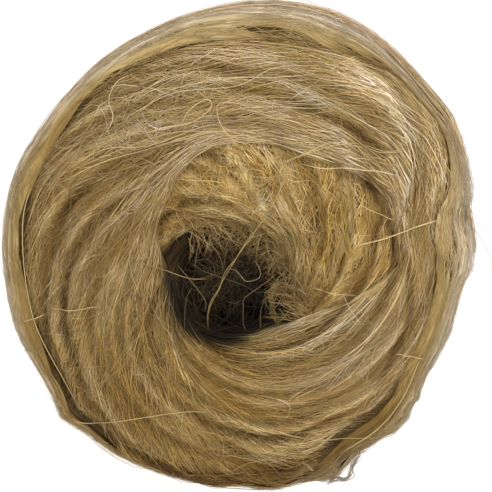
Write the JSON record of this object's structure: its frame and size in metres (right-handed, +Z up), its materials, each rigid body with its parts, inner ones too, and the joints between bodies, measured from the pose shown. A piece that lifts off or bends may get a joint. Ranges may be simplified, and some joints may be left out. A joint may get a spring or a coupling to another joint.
{
  "type": "spool of plumbing hemp",
  "caption": "Cross-wound roll of combed hemp fibre with an open hole through its middle, for sealing threaded pipe joints, standing on its end.",
  "frame": {"origin": "middle of the spool's box on the floor that it stands on", "axes": "+Z up along the winding axis; +X to the right and +Y away from a viewer who stands in front of the end that faces up"},
  "size_m": [0.0992, 0.1026, 0.0726],
  "materials": {
    "hemp_fibre": "dry combed hemp roving, straw to brown, dull with a faint silky sheen along the fibres"
  },
  "bodies": {
    "root": {"wound_hemp": "hemp_fibre"}
  },
  "joints": []
}
